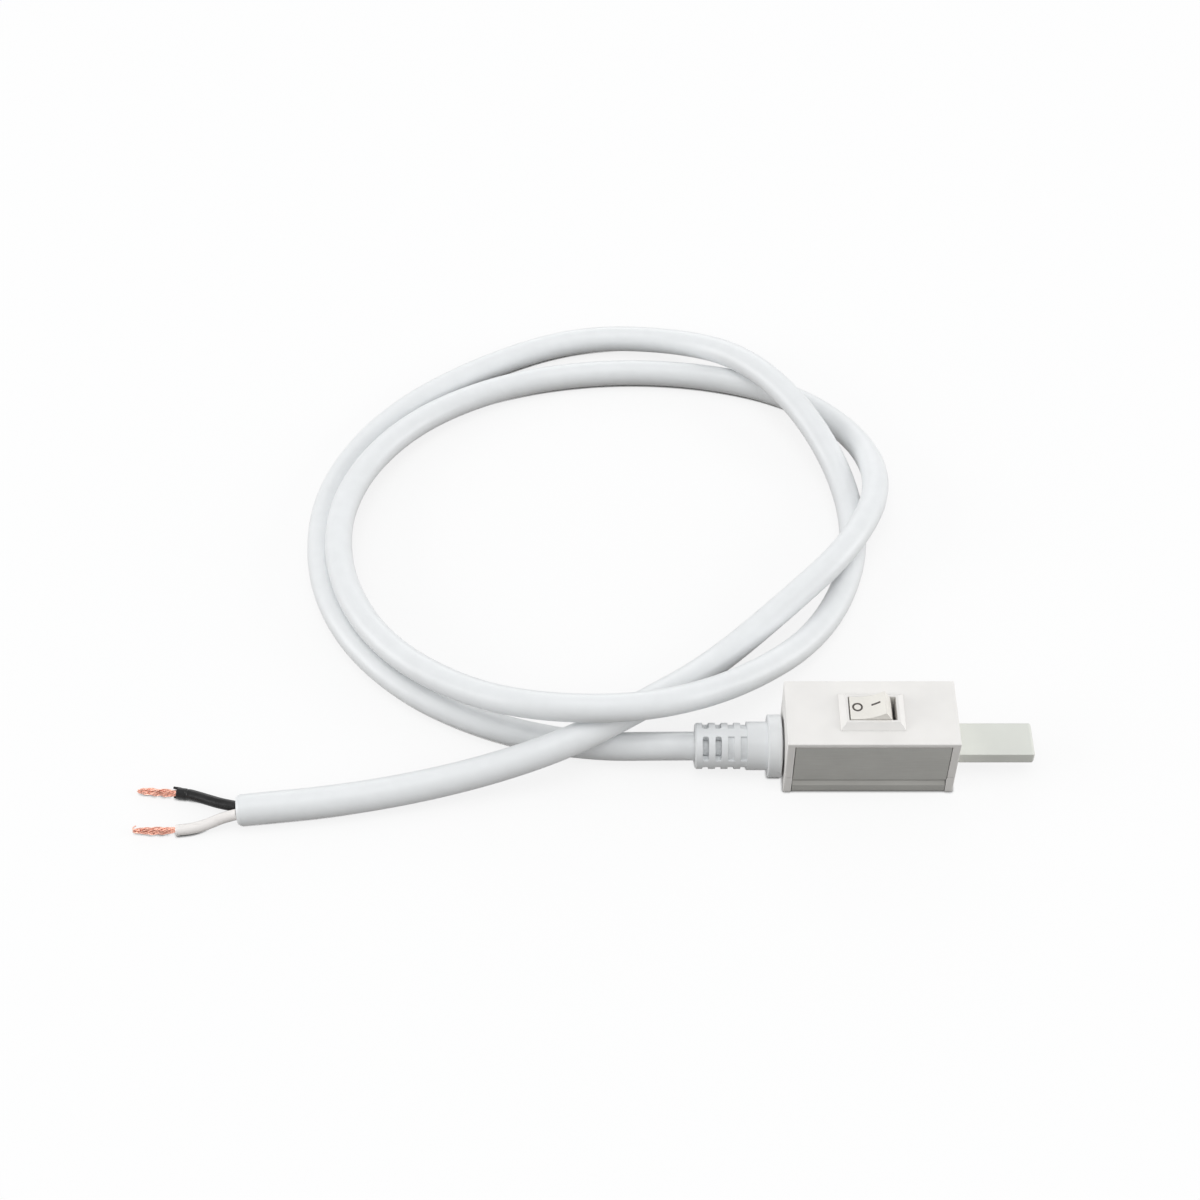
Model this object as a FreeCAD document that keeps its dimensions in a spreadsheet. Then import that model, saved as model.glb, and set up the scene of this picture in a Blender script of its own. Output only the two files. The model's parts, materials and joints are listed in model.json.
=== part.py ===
import FreeCAD, Part
import Sketcher
import math
import os
from types import SimpleNamespace

# Inline cord switch: a rocker switch in a small box between a jacketed cord and a flat link plug.
# Millimetres. Origin at the middle of the underside, +Z up, the cord leaves along -X.

Vector = FreeCAD.Vector
Placement = FreeCAD.Placement
Rotation = FreeCAD.Rotation
X_AXIS = Vector(1, 0, 0)
Y_AXIS = Vector(0, 1, 0)
Z_AXIS = Vector(0, 0, 1)

# Driving dimensions, in millimetres and degrees
SIZES = {
    # box
    "body_length": 41.0,
    "body_width": 19.0,
    "body_height": 19.4,
    "top_wall": 1.15,
    "end_wall": 1.9,
    "split_height": 5.8,
    "seam_gap": 0.1,
    "edge_round": 0.3,
    "fit_gap": 0.05,
    # aluminium channel with a clip groove each side
    "channel_recess": 0.2,
    "channel_gap": 0.15,
    "channel_wall": 1.0,
    "channel_web": 1.0,
    "channel_chamfer": 0.15,
    "groove_low": 2.5,
    "groove_high": 4.9,
    "groove_depth": 0.8,
    # tray floor, ribs and screws
    "tray_floor": 1.2,
    "rib_height": 1.6,
    "rib_width": 9.0,
    "rib_thickness": 1.0,
    "screw_x": 13.0,
    "screw_radius": 0.8,
    "screw_gap": 0.15,
    "screw_head_radius": 1.6,
    "screw_length": 9.0,
    "recess_span": 1.6,
    "recess_width": 0.45,
    "recess_depth": 0.5,
    "boss_radius": 1.8,
    "boss_gap": 0.1,
    # switch housing
    "bezel_length": 15.6,
    "bezel_width": 11.0,
    "bezel_height": 1.6,
    "bezel_rim": 0.6,
    "switch_wall": 0.8,
    "switch_depth": 9.5,
    "well_length": 11.4,
    "well_width": 6.9,
    "well_floor": 1.0,
    "snap_reach": 0.6,
    "snap_height": 1.6,
    "snap_width": 3.6,
    # rocker and plunger
    "pivot_drop": 3.35,
    "rocker_tilt": 15.0,
    "rocker_side_gap": 0.15,
    "ridge_half": 4.3,
    "ridge_rise": 4.8,
    "ridge_flat": 0.2,
    "scoop_depth": 0.8,
    "shoulder_half": 5.1,
    "shoulder_rise": 2.0,
    "skirt_half": 5.0,
    "skirt_drop": 1.2,
    "rocker_wall": 0.8,
    "hollow_rise": 1.6,
    "trunnion_radius": 1.0,
    "trunnion_inset": 0.2,
    "running_gap": 0.05,
    "plunger_boss_wall": 0.75,
    "plunger_boss_drop": 2.6,
    "plunger_radius": 0.9,
    "plunger_top_drop": 1.2,
    "plunger_gap": 0.05,
    "bore_rise": 1.0,
    "spring_wire_radius": 0.14,
    "spring_turns": 3.0,
    # contacts and terminals
    "knife_height": 1.1,
    "lever_half": 4.4,
    "lever_width": 3.0,
    "lever_thickness": 0.5,
    "lever_lift": 0.1,
    "lever_wing": 10.0,
    "lever_swing": 6.0,
    "contact_x": 3.5,
    "contact_radius": 0.8,
    "moving_contact_height": 0.35,
    "contact_gap": 0.1,
    "stop_length": 0.8,
    "terminal_thickness": 0.6,
    "blade_width": 2.4,
    "blade_offset": 2.0,
    "blade_reach": 4.7,
    "load_blade_x": 4.6,
    # link plug
    "tongue_length": 19.5,
    "tongue_width": 9.4,
    "tongue_thickness": 3.1,
    "tongue_low": 5.5,
    "tongue_round": 0.7,
    "plug_flange": 1.2,
    "plug_flange_width": 12.0,
    "plug_flange_top": 10.6,
    "sleeve_spacing": 4.4,
    "sleeve_radius": 1.0,
    "sleeve_bore": 0.7,
    "sleeve_tail": 3.0,
    "sleeve_inset": 0.6,
    # strain relief
    "relief_flange": 1.3,
    "relief_flange_radius": 5.2,
    "neck_radius": 4.6,
    "collar_gap": 0.5,
    "collar_length": 3.3,
    "collar_radius": 7.6,
    "collar_edge": 0.2,
    "collar_clear": 0.3,
    "barrel_length": 5.05,
    "barrel_radius": 5.9,
    "slotted_length": 12.5,
    "slotted_radius": 5.6,
    "nose_edge": 0.4,
    "window_length": 1.5,
    "window_pitch": 3.07,
    "window_angle": 65.0,
    "window_round": 0.55,
    "shallow_depth": 0.55,
    "jacket_start": 2.0,
    "relief_bore_gap": 0.15,
    # cord, cores and bare strands
    "cord_diameter": 7.0,
    "core_diameter": 2.7,
    "core_spacing": 3.0,
    "strand_radius": 0.75,
    "strand_tip_radius": 0.5,
}

WINDOWS_PER_RING = 4
POINTS_PER_COIL = 8

# Cord centre line: out of the strain relief, two loose turns to the left and back, then the cut end
CORD_ROUTE = [
    (-22.5, 0, 5.8), (-45.5, 0, 5.8), (-69, 1.3, 3.5), (-94, 7.8, 3.5), (-116, 20.5, 3.5),
    (-132, 40, 3.5), (-139, 63.5, 3.5), (-137, 88.5, 3.5), (-123, 113, 3.5), (-99, 132, 3.5),
    (-71.5, 144.5, 3.5), (-44, 142.5, 4.6), (-25, 129.5, 10.9), (-9.5, 109.5, 10.9), (1.5, 86, 4.6),
    (2, 60, 3.5), (-9, 36, 3.5), (-29, 16.5, 9.8), (-51, 3, 17.6), (-75, 1.5, 18.6),
    (-97, 11, 12.2), (-118, 26, 10.3), (-130.5, 47, 9.2), (-134, 70.5, 8.2), (-128, 92, 7),
    (-113.5, 112, 5), (-90, 126, 3.6), (-63, 131, 3.5), (-36, 129.5, 3.5), (-12, 122, 3.5),
    (5, 105.5, 4.4), (10, 82.5, 9.6), (0.5, 60, 11.4), (-17.5, 42.5, 8), (-37, 25.5, 4),
    (-54, 9, 10.6), (-73, -4, 11.6), (-97, -9, 5.2), (-123.5, -14.3, 3.5), (-151.4, -17.6, 3.5),
]

# Cores beyond the jacket's cut end, and the tips of their bare strands
BLACK_ROUTE = [(-155.2, -15, 2.8), (-159.1, -13.3, 2.15), (-163.3, -11.5, 1.6), (-167.4, -10.6, 1.35)]
WHITE_ROUTE = [(-154.8, -18.8, 2.6), (-158.2, -19.7, 1.95), (-161.8, -20.9, 1.5), (-165.9, -21.6, 1.35)]
BLACK_TIP = (-176.8, -10.1, 1)
WHITE_TIP = (-176.4, -21.6, 1)


class Dim:
    """A dimension that carries its value and the sheet formula it comes from."""

    def __init__(self, value, formula):
        self.value = value
        self.formula = formula

    def __add__(self, other):
        return Dim(self.value + number(other), "(%s + %s)" % (self.formula, text(other)))

    def __sub__(self, other):
        return Dim(self.value - number(other), "(%s - %s)" % (self.formula, text(other)))

    def __mul__(self, other):
        return Dim(self.value * number(other), "(%s * %s)" % (self.formula, text(other)))

    def __truediv__(self, other):
        return Dim(self.value / number(other), "(%s / %s)" % (self.formula, text(other)))

    def __neg__(self):
        return Dim(-self.value, "(-1 * %s)" % self.formula)


def number(item):
    return item.value if isinstance(item, Dim) else float(item)


def text(item):
    return item.formula if isinstance(item, Dim) else repr(float(item))


def slope(angle):
    return Dim(math.tan(math.radians(angle.value)), "tan(%s * 1 deg)" % angle.formula)


def cosine(angle):
    return Dim(math.cos(math.radians(angle.value)), "cos(%s * 1 deg)" % angle.formula)


def make_sheet():
    sheet = doc.addObject("Spreadsheet::Sheet", "Sizes")
    for row, (alias, value) in enumerate(SIZES.items(), start=1):
        sheet.set("A%d" % row, alias)
        sheet.set("B%d" % row, str(value))
        sheet.setAlias("B%d" % row, alias)
    doc.recompute()
    return SimpleNamespace(**{alias: Dim(float(sheet.get(alias)), "Sizes." + alias) for alias in SIZES})


def bind(item, name, dim):
    item.setExpression(name, text(dim))


def set_place(piece, height, tilt=None):
    """Lift a piece to its height, and turn it about Y where it has a tilt."""
    if tilt is not None:
        piece.Placement = Placement(Vector(), Rotation(Y_AXIS, number(tilt)))
        piece.setExpression(".Placement.Rotation.Angle", "%s * 1 deg" % text(tilt))
    bind(piece, ".Placement.Base.z", height)


def make_body(label):
    body = doc.addObject("PartDesign::Body", label)
    body.Label = label
    return body


def make_sketch(body, plane, offset=None):
    sketch = body.newObject("Sketcher::SketchObject", body.Label + "_sketch")
    support = [item for item in body.Origin.OriginFeatures if item.Role == plane]
    sketch.AttachmentSupport = [(support[0], "")]
    sketch.MapMode = "FlatFace"
    if offset is not None:
        bind(sketch, "AttachmentOffset.Base.z", offset)
    return sketch


def fix_point(sketch, geometry, position, x, y):
    for kind, dim in (("DistanceX", x), ("DistanceY", y)):
        index = sketch.addConstraint(Sketcher.Constraint(kind, -1, 1, geometry, position, number(dim)))
        if isinstance(dim, Dim):
            bind(sketch, "Constraints[%d]" % index, dim)


def add_polygon(sketch, points):
    corners = [Vector(number(x), number(y), 0) for x, y in points]
    first = sketch.GeometryCount
    count = len(points)
    for step in range(count):
        sketch.addGeometry(Part.LineSegment(corners[step], corners[(step + 1) % count]), False)
    for step in range(count):
        following = first + (step + 1) % count
        sketch.addConstraint(Sketcher.Constraint("Coincident", first + step, 2, following, 1))
    for step, (x, y) in enumerate(points):
        fix_point(sketch, first + step, 1, x, y)


def add_rectangle(sketch, x0, x1, y0, y1):
    add_polygon(sketch, [(x0, y0), (x1, y0), (x1, y1), (x0, y1)])


def add_circle(sketch, x, y, radius):
    circle = Part.Circle(Vector(number(x), number(y), 0), Z_AXIS, number(radius))
    geometry = sketch.addGeometry(circle, False)
    fix_point(sketch, geometry, 3, x, y)
    index = sketch.addConstraint(Sketcher.Constraint("Radius", geometry, number(radius)))
    bind(sketch, "Constraints[%d]" % index, radius)


def add_pad(body, sketch, length, symmetric=False, backward=False):
    pad = body.newObject("PartDesign::Pad", body.Label + "_pad")
    pad.Profile = sketch
    pad.Midplane = symmetric
    pad.Reversed = backward
    bind(pad, "Length", length)


def add_loft(body, first, last):
    loft = body.newObject("PartDesign::AdditiveLoft", body.Label + "_loft")
    loft.Profile = first
    loft.Sections = [last]
    loft.Ruled = True


def add_pocket(body, sketch, length, symmetric=False, forward=False):
    """Cut along the sketch's normal if forward, else against it, and see that it cuts."""
    doc.recompute()
    before = body.Shape.Volume
    pocket = body.newObject("PartDesign::Pocket", body.Label + "_pocket")
    pocket.Profile = sketch
    pocket.Midplane = symmetric
    pocket.Reversed = forward
    bind(pocket, "Length", length)
    doc.recompute()
    if body.Shape.Volume > before - 1e-6:
        raise RuntimeError("a pocket of %s cuts nothing" % body.Label)


def dress_edges(body, kind, wanted, size):
    """Fillet or chamfer the edges that pass the test."""
    doc.recompute()
    base = body.Tip
    names = ["Edge%d" % (index + 1) for index, edge in enumerate(base.Shape.Edges) if wanted(edge)]
    dressed = body.newObject("PartDesign::" + kind, body.Label + "_edges")
    dressed.Base = (base, names)
    bind(dressed, "Radius" if kind == "Fillet" else "Size", size)


def near(value, dim):
    return abs(value - number(dim)) < 1e-4


def ends_at(edge, axis, dim):
    """True if both ends of the edge are this far from the middle along the axis."""
    return all(near(abs(getattr(vertex.Point, axis)), dim) for vertex in edge.Vertexes)


def is_upright(edge):
    """True if the edge's ends lie on one vertical line."""
    ends = [vertex.Point for vertex in edge.Vertexes]
    return near(ends[0].x, ends[-1].x) and near(ends[0].y, ends[-1].y)


def is_circle(edge, axis, place, radius):
    curve = edge.Curve
    if not isinstance(curve, Part.Circle):
        return False
    return near(curve.Radius, radius) and near(getattr(curve.Center, axis), place)


def spans_radii(edge, inner, outer):
    """True if the edge runs between these two distances from the X axis."""
    reach = sorted(math.hypot(vertex.Y, vertex.Z) for vertex in edge.Vertexes)
    return len(reach) == 2 and near(reach[0], inner) and near(reach[1], outer)


doc = FreeCAD.newDocument("inline_cord_switch")
d = make_sheet()

# Places that several pieces share
half_length = d.body_length / 2
half_width = d.body_width / 2
inner_end = half_length - d.end_wall
flange_face = inner_end - d.fit_gap
channel_top = d.body_height - d.top_wall
channel_half = half_width - d.channel_recess
channel_inner = channel_half - d.groove_depth - d.channel_wall
tray_half = channel_inner - d.fit_gap
tray_top = d.channel_web + d.tray_floor
screw_y = channel_inner - d.boss_radius - d.boss_gap
screw_places = [(-d.screw_x, screw_y), (d.screw_x, -screw_y)]
screw_hole = d.screw_radius + d.screw_gap
bezel_top = d.body_height + d.bezel_height
pivot_height = bezel_top - d.pivot_drop
switch_half_x = d.well_length / 2 + d.switch_wall
switch_half_y = d.well_width / 2 + d.switch_wall
switch_bottom = d.body_height - d.switch_depth
well_bottom = switch_bottom + d.well_floor
knife_axis = well_bottom + d.knife_height
half_blade = d.terminal_thickness / 2
blade_near = d.blade_offset - d.blade_width / 2
blade_far = d.blade_offset + d.blade_width / 2
blade_bottom = switch_bottom - d.blade_reach
blade_height = d.blade_reach + d.well_floor + d.terminal_thickness
blade_middle = switch_bottom - d.blade_reach / 2
closed_slope = slope(d.lever_wing - d.lever_swing)
plug_start = flange_face - d.plug_flange
plug_end = half_length + d.tongue_length
tongue_middle = d.tongue_low + d.tongue_thickness / 2
tail_end = plug_start - d.sleeve_tail
sleeve_side = d.sleeve_spacing / 2
relief_start = -(flange_face - d.relief_flange)
collar_start = -(half_length + d.collar_gap)
collar_end = collar_start - d.collar_length
barrel_end = collar_end - d.barrel_length
relief_end = barrel_end - d.slotted_length
jacket_end = -(half_length + d.jacket_start)
cord_radius = d.cord_diameter / 2
relief_bore = cord_radius + d.relief_bore_gap
core_radius = d.core_diameter / 2
core_side = d.core_spacing / 2


def add_screw_circles(sketch, radius):
    for x, y in screw_places:
        add_circle(sketch, x, y, radius)


def add_end_rectangles(sketch):
    for x0, x1 in ((-half_length, -inner_end), (inner_end, half_length)):
        add_rectangle(sketch, x0, x1, -half_width, half_width)


def is_wall_corner(edge):
    """True for an end wall's outer edges and for its upright inner edges."""
    outer = ends_at(edge, "x", half_length)
    inner = ends_at(edge, "x", inner_end) and is_upright(edge)
    return ends_at(edge, "y", half_width) and (outer or inner)


def cut_end_notches(body, slot_low, slot_high):
    """Half-round seat for the strain relief's neck and a slot for the link plug's tongue."""
    neck = make_sketch(body, "YZ_Plane", -half_length)
    add_circle(neck, 0, d.split_height, d.neck_radius + d.fit_gap)
    add_pocket(body, neck, d.end_wall + d.fit_gap, forward=True)
    slot = make_sketch(body, "YZ_Plane", half_length)
    slot_half = d.tongue_width / 2 + d.fit_gap
    add_rectangle(slot, -slot_half, slot_half, slot_low, slot_high)
    add_pocket(body, slot, d.end_wall)


def make_channel():
    """Aluminium U section, open at the top, with a clip groove low on each side."""
    body = make_body("channel")
    section = make_sketch(body, "YZ_Plane")
    groove_bottom = channel_half - d.groove_depth
    wall = channel_half - d.channel_wall
    bulge_top = d.groove_high + d.channel_wall
    right = [
        (channel_half - d.channel_chamfer, 0),
        (channel_half, d.channel_chamfer),
        (channel_half, d.groove_low),
        (groove_bottom, d.groove_low + d.groove_depth),
        (groove_bottom, d.groove_high),
        (channel_half, d.groove_high),
        (channel_half, channel_top),
        (wall, channel_top),
        (wall, bulge_top),
        (channel_inner, bulge_top - d.groove_depth),
        (channel_inner, d.channel_web),
    ]
    left = [(-y, z) for y, z in reversed(right)]
    add_polygon(section, right + left)
    add_pad(body, section, (inner_end - d.channel_gap) * 2, symmetric=True)
    holes = make_sketch(body, "XY_Plane")
    add_screw_circles(holes, screw_hole)
    add_pocket(body, holes, d.channel_web * 2, symmetric=True)
    dress_edges(body, "Chamfer", lambda edge: is_circle(edge, "z", 0, screw_hole),
                d.screw_head_radius - screw_hole)
    return body


def make_base_tray():
    """Tray floor on the channel's web, with the lower halves of the end walls."""
    body = make_body("base_tray")
    floor = make_sketch(body, "XY_Plane", d.channel_web)
    add_rectangle(floor, -half_length, half_length, -tray_half, tray_half)
    add_pad(body, floor, d.tray_floor)
    ends = make_sketch(body, "XY_Plane")
    add_end_rectangles(ends)
    add_pad(body, ends, d.split_height - d.seam_gap / 2)
    dress_edges(body, "Fillet", lambda edge: is_wall_corner(edge) or (
        ends_at(edge, "x", half_length) and ends_at(edge, "z", 0)), d.edge_round)
    ribs = make_sketch(body, "XY_Plane", tray_top)
    left_rib = relief_start + d.fit_gap
    right_rib = plug_start - d.fit_gap
    half_rib = d.rib_width / 2
    add_rectangle(ribs, left_rib, left_rib + d.rib_thickness, -half_rib, half_rib)
    add_rectangle(ribs, right_rib - d.rib_thickness, right_rib, -half_rib, half_rib)
    add_pad(body, ribs, d.rib_height)
    holes = make_sketch(body, "XY_Plane", d.channel_web)
    add_screw_circles(holes, screw_hole)
    add_pocket(body, holes, d.tray_floor, forward=True)
    cut_end_notches(body, d.tongue_low - d.fit_gap, d.split_height)
    return body


def make_top_cover():
    """Top plate, upper halves of the end walls and two screw bosses."""
    body = make_body("top_cover")
    plate = make_sketch(body, "XY_Plane", channel_top)
    add_rectangle(plate, -half_length, half_length, -half_width, half_width)
    add_pad(body, plate, d.top_wall)
    wall_bottom = d.split_height + d.seam_gap / 2
    ends = make_sketch(body, "XY_Plane", wall_bottom)
    add_end_rectangles(ends)
    add_pad(body, ends, channel_top - wall_bottom)
    dress_edges(body, "Fillet", lambda edge: is_wall_corner(edge) or ends_at(edge, "z", d.body_height),
                d.edge_round)
    bosses = make_sketch(body, "XY_Plane", tray_top)
    add_screw_circles(bosses, d.boss_radius)
    add_pad(body, bosses, channel_top - tray_top)
    pilots = make_sketch(body, "XY_Plane", tray_top)
    add_screw_circles(pilots, d.screw_radius + d.fit_gap)
    add_pocket(body, pilots, d.screw_length - tray_top + d.screw_radius, forward=True)
    opening = make_sketch(body, "XY_Plane", d.body_height)
    opening_x = switch_half_x + d.fit_gap
    opening_y = switch_half_y + d.fit_gap
    add_rectangle(opening, -opening_x, opening_x, -opening_y, opening_y)
    add_pocket(body, opening, d.top_wall)
    cut_end_notches(body, d.split_height, d.tongue_low + d.tongue_thickness + d.fit_gap)
    return body


def make_driver_recess():
    """Crossed slots for a screw's head."""
    slots = []
    for length, width in ((d.recess_span, d.recess_width), (d.recess_width, d.recess_span)):
        slot = doc.addObject("Part::Box", "recess_slot")
        bind(slot, "Length", length)
        bind(slot, "Width", width)
        bind(slot, "Height", d.recess_depth)
        bind(slot, ".Placement.Base.x", -length / 2)
        bind(slot, ".Placement.Base.y", -width / 2)
        slots.append(slot)
    recess = doc.addObject("Part::MultiFuse", "driver_recess")
    recess.Shapes = slots
    return recess


def make_cover_screws():
    """Two cross-recessed countersunk screws that hold channel, tray and cover together from below."""
    head_radius = d.screw_head_radius - d.fit_gap
    screws = []
    for x, y in screw_places:
        head = doc.addObject("Part::Cone", "screw_head")
        bind(head, "Radius1", head_radius)
        bind(head, "Radius2", d.screw_radius)
        bind(head, "Height", head_radius - d.screw_radius)
        shank = doc.addObject("Part::Cylinder", "screw_shank")
        bind(shank, "Radius", d.screw_radius)
        bind(shank, "Height", d.screw_length)
        blank = doc.addObject("Part::Fuse", "screw_blank")
        blank.Base = head
        blank.Tool = shank
        screw = doc.addObject("Part::Cut", "screw")
        screw.Base = blank
        screw.Tool = make_driver_recess()
        bind(screw, ".Placement.Base.x", x)
        bind(screw, ".Placement.Base.y", y)
        screws.append(screw)
    pair = doc.addObject("Part::Compound", "cover_screws")
    pair.Label = "cover_screws"
    pair.Links = screws
    return pair


def make_switch_housing():
    """Bezel and open-topped body of the rocker switch, with snap wings under the cover's plate."""
    body = make_body("switch_housing")
    block = make_sketch(body, "XY_Plane", switch_bottom)
    add_rectangle(block, -switch_half_x, switch_half_x, -switch_half_y, switch_half_y)
    add_pad(body, block, d.switch_depth)
    half_bezel_x = d.bezel_length / 2
    half_bezel_y = d.bezel_width / 2
    bezel_base = make_sketch(body, "XY_Plane", d.body_height)
    add_rectangle(bezel_base, -half_bezel_x, half_bezel_x, -half_bezel_y, half_bezel_y)
    half_well_x = d.well_length / 2
    half_well_y = d.well_width / 2
    half_rim_x = half_well_x + d.bezel_rim
    half_rim_y = half_well_y + d.bezel_rim
    bezel_rim = make_sketch(body, "XY_Plane", bezel_top)
    add_rectangle(bezel_rim, -half_rim_x, half_rim_x, -half_rim_y, half_rim_y)
    add_loft(body, bezel_base, bezel_rim)
    well = make_sketch(body, "XY_Plane", bezel_top)
    add_rectangle(well, -half_well_x, half_well_x, -half_well_y, half_well_y)
    add_pocket(body, well, bezel_top - well_bottom)
    pivots = make_sketch(body, "XZ_Plane")
    add_circle(pivots, 0, pivot_height, d.trunnion_radius + d.running_gap)
    add_pocket(body, pivots, switch_half_y * 2, symmetric=True)
    slots = make_sketch(body, "XY_Plane", well_bottom)
    slot_half = half_blade + d.fit_gap
    slot_near = blade_near - d.fit_gap
    slot_far = blade_far + d.fit_gap
    add_rectangle(slots, -slot_half, slot_half, slot_near, slot_far)
    add_rectangle(slots, -d.load_blade_x - slot_half, -d.load_blade_x + slot_half, -slot_far, -slot_near)
    add_pocket(body, slots, d.well_floor)
    stop = make_sketch(body, "XY_Plane", well_bottom)
    stop_start = d.contact_x - d.stop_length / 2
    half_lever = d.lever_width / 2
    add_rectangle(stop, stop_start, stop_start + d.stop_length, -half_lever, half_lever)
    add_pad(body, stop, d.knife_height + d.lever_lift + stop_start * closed_slope - d.contact_gap)
    wings = make_sketch(body, "XZ_Plane")
    wing_top = channel_top - d.fit_gap
    wing_bottom = wing_top - d.snap_height
    wing_tip = switch_half_x + d.snap_reach
    for root, tip in ((switch_half_x, wing_tip), (-switch_half_x, -wing_tip)):
        add_polygon(wings, [(root, wing_top), (tip, wing_top), (root, wing_bottom)])
    add_pad(body, wings, d.snap_width, symmetric=True)
    return body


def make_rocker():
    """Rocker button with a dished top, two trunnions and a guide for the plunger."""
    body = make_body("rocker")
    set_place(body, pivot_height, -d.rocker_tilt)
    width = d.well_width - d.rocker_side_gap * 2
    outline = make_sketch(body, "XZ_Plane")
    add_polygon(outline, [
        (d.ridge_half, d.ridge_rise),
        (d.shoulder_half, d.shoulder_rise),
        (d.skirt_half, -d.skirt_drop),
        (-d.skirt_half, -d.skirt_drop),
        (-d.shoulder_half, d.shoulder_rise),
        (-d.ridge_half, d.ridge_rise),
    ])
    add_pad(body, outline, width, symmetric=True)
    scoop_half = d.ridge_half - d.ridge_flat
    scoop_radius = (scoop_half * scoop_half + d.scoop_depth * d.scoop_depth) / (d.scoop_depth * 2)
    scoop = make_sketch(body, "XZ_Plane")
    add_circle(scoop, 0, d.ridge_rise - d.scoop_depth + scoop_radius, scoop_radius)
    add_pocket(body, scoop, width * 2, symmetric=True)
    trunnions = make_sketch(body, "XZ_Plane")
    add_circle(trunnions, 0, 0, d.trunnion_radius)
    add_pad(body, trunnions, (switch_half_y - d.trunnion_inset) * 2, symmetric=True)
    hollow = make_sketch(body, "XY_Plane", -d.skirt_drop)
    hollow_x = d.skirt_half - d.rocker_wall
    hollow_y = width / 2 - d.rocker_wall
    add_rectangle(hollow, -hollow_x, hollow_x, -hollow_y, hollow_y)
    add_pocket(body, hollow, d.skirt_drop + d.hollow_rise, forward=True)
    bore_radius = d.plunger_radius + d.running_gap
    guide = make_sketch(body, "XY_Plane", d.hollow_rise)
    add_circle(guide, 0, 0, bore_radius + d.plunger_boss_wall)
    add_pad(body, guide, d.hollow_rise + d.plunger_boss_drop, backward=True)
    bore = make_sketch(body, "XY_Plane", -d.plunger_boss_drop)
    add_circle(bore, 0, 0, bore_radius)
    add_pocket(body, bore, d.plunger_boss_drop + d.bore_rise, forward=True)
    return body


def make_plunger():
    """Round-tipped pin in the rocker's guide; its tip runs in the valley of the contact lever."""
    lever_top = knife_axis + d.lever_lift + d.lever_thickness
    reach = pivot_height - lever_top - d.plunger_radius / cosine(d.lever_wing) - d.plunger_gap
    pin = doc.addObject("Part::Cylinder", "plunger_pin")
    bind(pin, "Radius", d.plunger_radius)
    bind(pin, "Height", reach - d.plunger_top_drop)
    bind(pin, ".Placement.Base.z", -reach)
    tip = doc.addObject("Part::Sphere", "plunger_tip")
    bind(tip, "Radius", d.plunger_radius)
    bind(tip, ".Placement.Base.z", -reach)
    plunger = doc.addObject("Part::Fuse", "plunger")
    plunger.Label = "plunger"
    plunger.Base = pin
    plunger.Tool = tip
    set_place(plunger, pivot_height, -d.rocker_tilt)
    return plunger


def make_plunger_spring():
    """Coil spring between the plunger's head and the blind end of its bore."""
    wire_radius = number(d.spring_wire_radius)
    coil_radius = number(d.plunger_radius) - wire_radius
    bottom = wire_radius - number(d.plunger_top_drop)
    height = number(d.bore_rise + d.plunger_top_drop) - 2 * wire_radius
    steps = round(number(d.spring_turns)) * POINTS_PER_COIL
    route = []
    for step in range(steps + 1):
        angle = 2 * math.pi * step / POINTS_PER_COIL
        rise = bottom + height * step / steps
        route.append((coil_radius * math.cos(angle), coil_radius * math.sin(angle), rise))
    spring = make_tube("plunger_spring", route, d.spring_wire_radius, mitred=True)
    set_place(spring, pivot_height, -d.rocker_tilt)
    return spring


def make_contact_lever():
    """Shallow V of sheet brass that tips on the knife edge of the common terminal."""
    body = make_body("contact_lever")
    set_place(body, knife_axis, d.lever_swing)
    wing_rise = d.lever_lift + d.lever_half * slope(d.lever_wing)
    strip = make_sketch(body, "XZ_Plane")
    add_polygon(strip, [
        (0, d.lever_lift),
        (d.lever_half, wing_rise),
        (d.lever_half, wing_rise + d.lever_thickness),
        (0, d.lever_lift + d.lever_thickness),
        (-d.lever_half, wing_rise + d.lever_thickness),
        (-d.lever_half, wing_rise),
    ])
    add_pad(body, strip, d.lever_width, symmetric=True)
    notch = make_sketch(body, "XZ_Plane")
    add_circle(notch, 0, 0, half_blade + d.running_gap)
    add_pocket(body, notch, d.lever_width * 2, symmetric=True)
    return body


def make_moving_contact():
    """Contact rivet under the lever's left wing."""
    rivet = doc.addObject("Part::Cylinder", "moving_contact")
    rivet.Label = "moving_contact"
    bind(rivet, "Radius", d.contact_radius)
    bind(rivet, "Height", d.moving_contact_height)
    wing = number(d.lever_wing)
    seat = Vector(-number(d.contact_x), 0, number(d.lever_lift + d.contact_x * slope(d.lever_wing)))
    on_wing = Placement(seat, Rotation(Y_AXIS, 180 + wing))
    lever = Placement(Vector(0, 0, number(knife_axis)), Rotation(Y_AXIS, number(d.lever_swing)))
    rivet.Placement = lever.multiply(on_wing)
    return rivet


def make_common_terminal():
    """Upright knife edge that carries the lever, with a solder blade below the switch."""
    body = make_body("common_terminal")
    upright = make_sketch(body, "XZ_Plane")
    add_rectangle(upright, -half_blade, half_blade, well_bottom, knife_axis)
    add_pad(body, upright, d.lever_width, symmetric=True)
    edge = make_sketch(body, "XZ_Plane")
    add_circle(edge, 0, knife_axis, half_blade)
    add_pad(body, edge, d.lever_width, symmetric=True)
    blade = make_sketch(body, "XY_Plane", blade_bottom)
    add_rectangle(blade, -half_blade, half_blade, blade_near, blade_far)
    add_pad(body, blade, blade_height)
    return body


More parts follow.
